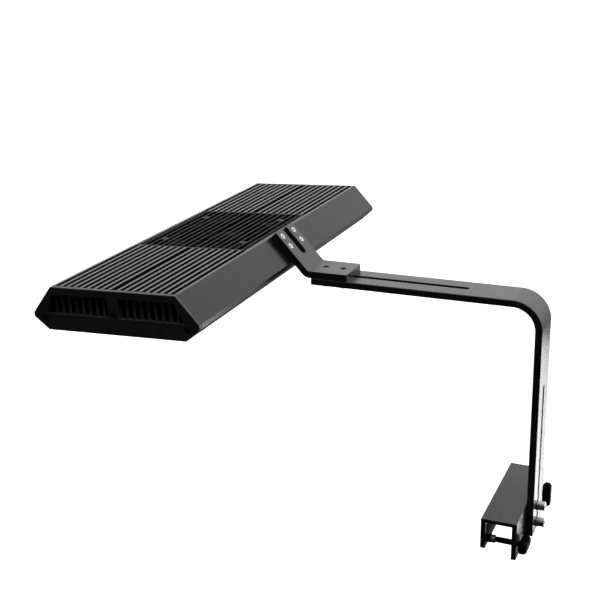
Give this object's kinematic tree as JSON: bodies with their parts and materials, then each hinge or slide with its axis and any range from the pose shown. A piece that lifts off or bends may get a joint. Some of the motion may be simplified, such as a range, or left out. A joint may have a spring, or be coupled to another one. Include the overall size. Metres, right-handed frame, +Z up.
{
  "type": "led aquarium light",
  "caption": "Finned lamp head with a built-in cooling fan, carried over the water by a slotted L-shaped arm on a channel clamp that grips the tank rim with thumbscrews.",
  "frame": {"origin": "middle of the clamp's seat, where the underside of the channel rests on the tank rim", "axes": "+X points out of the tank, away from the lamp; +Y runs along the rim and along the lamp; +Z is up"},
  "size_m": [0.3983, 0.4272, 0.2702],
  "materials": {
    "black_bar": "black anodised, satin",
    "heat_sink": "black anodised extrusion, satin",
    "cap_plastic": "moulded, fine matt grain",
    "grille_plastic": "moulded, matt",
    "fan_plastic": "moulded, smooth",
    "copper": "enamelled copper windings",
    "stainless": "bright stainless",
    "white_board": "white solder mask",
    "green_board": "green solder mask",
    "component_black": "moulded",
    "led_lens": "silicone lens over phosphor",
    "clear_cover": "clear, polished",
    "soft_rubber": "matt rubber",
    "cable_jacket": "smooth cable jacket",
    "knob_plastic": "moulded, satin",
    "black_steel": "black oxide, slightly oily",
    "screw_black": "moulded nylon"
  },
  "bodies": {
    "clamp": {"clamp_channel": "black_bar", "glass_pad": "soft_rubber"},
    "arm_bar": {"arm": "black_bar"},
    "lamp": {"bracket": "black_bar", "bracket_screws": "stainless", "heat_sink_housing": "heat_sink", "end_cap_near": "cap_plastic", "end_cap_far": "cap_plastic", "end_gasket_near": "soft_rubber", "end_gasket_far": "soft_rubber", "end_cap_screws": "black_steel", "fan_grille": "grille_plastic", "fan_frame": "fan_plastic", "fan_motor_coil": "copper", "fan_screws": "stainless", "led_board": "white_board", "led_board_screws": "stainless", "led_emitters": "led_lens", "light_cover": "clear_cover", "driver_board": "green_board", "driver_components": "component_black", "cable_grommet": "soft_rubber", "power_cable": "cable_jacket", "power_plug": "knob_plastic"},
    "fan": {"fan_rotor": "fan_plastic"},
    "thumb_foot_near": {"thumb_pad_near": "soft_rubber", "thumb_collar_near": "stainless"},
    "thumb_screw_near": {"thumb_shaft_near": "screw_black", "thumb_knob_near": "knob_plastic"},
    "thumb_foot_far": {"thumb_pad_far": "soft_rubber", "thumb_collar_far": "stainless"},
    "thumb_screw_far": {"thumb_shaft_far": "screw_black", "thumb_knob_far": "knob_plastic"},
    "height_washers_upper": {"height_washer_upper": "stainless", "height_spring_washer_upper": "stainless"},
    "height_bolt_upper": {"height_screw_upper": "stainless"},
    "height_washers_lower": {"height_washer_lower": "stainless", "height_spring_washer_lower": "stainless"},
    "height_bolt_lower": {"height_screw_lower": "stainless"},
    "reach_washers_inner": {"reach_washer_inner": "stainless", "reach_spring_washer_inner": "stainless"},
    "reach_bolt_inner": {"reach_screw_inner": "stainless"},
    "reach_washers_outer": {"reach_washer_outer": "stainless", "reach_spring_washer_outer": "stainless"},
    "reach_bolt_outer": {"reach_screw_outer": "stainless"}
  },
  "joints": [
    {"name": "height_slide", "type": "slide", "parent": "clamp", "child": "arm_bar", "axis": [0, 0, 1], "range_m": [-0.1175, 0]},
    {"name": "reach_slide", "type": "slide", "parent": "arm_bar", "child": "lamp", "axis": [1, 0, 0], "range_m": [0, 0.028]},
    {"name": "fan_spin", "type": "hinge", "parent": "lamp", "child": "fan", "pos_m": [-0.2898, 0, 0.212], "axis": [-0.0457, 0, 0.999], "continuous": true},
    {"name": "thumb_foot_near_slide", "type": "slide", "parent": "clamp", "child": "thumb_foot_near", "axis": [1, 0, 0], "range_m": [0, 0.015]},
    {"name": "thumb_screw_near_turn", "type": "hinge", "parent": "thumb_foot_near", "child": "thumb_screw_near", "pos_m": [0, -0.049, -0.0195], "axis": [1, 0, 0], "range_deg": [0, 5401]},
    {"name": "thumb_foot_far_slide", "type": "slide", "parent": "clamp", "child": "thumb_foot_far", "axis": [1, 0, 0], "range_m": [0, 0.015]},
    {"name": "thumb_screw_far_turn", "type": "hinge", "parent": "thumb_foot_far", "child": "thumb_screw_far", "pos_m": [0, 0.049, -0.0195], "axis": [1, 0, 0], "range_deg": [0, 5401]},
    {"name": "height_washers_upper_slide", "type": "slide", "parent": "clamp", "child": "height_washers_upper", "axis": [1, 0, 0], "range_m": [0, 0.002]},
    {"name": "height_bolt_upper_turn", "type": "hinge", "parent": "height_washers_upper", "child": "height_bolt_upper", "pos_m": [0, 0, -0.0055], "axis": [1, 0, 0], "range_deg": [0, 901]},
    {"name": "height_washers_lower_slide", "type": "slide", "parent": "clamp", "child": "height_washers_lower", "axis": [1, 0, 0], "range_m": [0, 0.002]},
    {"name": "height_bolt_lower_turn", "type": "hinge", "parent": "height_washers_lower", "child": "height_bolt_lower", "pos_m": [0, 0, -0.0222], "axis": [1, 0, 0], "range_deg": [0, 901]},
    {"name": "reach_washers_inner_slide", "type": "slide", "parent": "lamp", "child": "reach_washers_inner", "axis": [0, 0, -1], "range_m": [0, 0.002]},
    {"name": "reach_bolt_inner_turn", "type": "hinge", "parent": "reach_washers_inner", "child": "reach_bolt_inner", "pos_m": [-0.185, 0, 0], "axis": [0, 0, -1], "range_deg": [0, 901]},
    {"name": "reach_washers_outer_slide", "type": "slide", "parent": "lamp", "child": "reach_washers_outer", "axis": [0, 0, -1], "range_m": [0, 0.002]},
    {"name": "reach_bolt_outer_turn", "type": "hinge", "parent": "reach_washers_outer", "child": "reach_bolt_outer", "pos_m": [-0.1675, 0, 0], "axis": [0, 0, -1], "range_deg": [0, 901]}
  ],
  "couplings": [
    {"joint": "thumb_screw_near_turn", "follows": "thumb_foot_near_slide", "rad_per_m": 6283.2},
    {"joint": "thumb_screw_far_turn", "follows": "thumb_foot_far_slide", "rad_per_m": 6283.2},
    {"joint": "height_bolt_upper_turn", "follows": "height_washers_upper_slide", "rad_per_m": 7854},
    {"joint": "height_bolt_lower_turn", "follows": "height_washers_lower_slide", "rad_per_m": 7854},
    {"joint": "reach_bolt_inner_turn", "follows": "reach_washers_inner_slide", "rad_per_m": 7854},
    {"joint": "reach_bolt_outer_turn", "follows": "reach_washers_outer_slide", "rad_per_m": 7854}
  ]
}
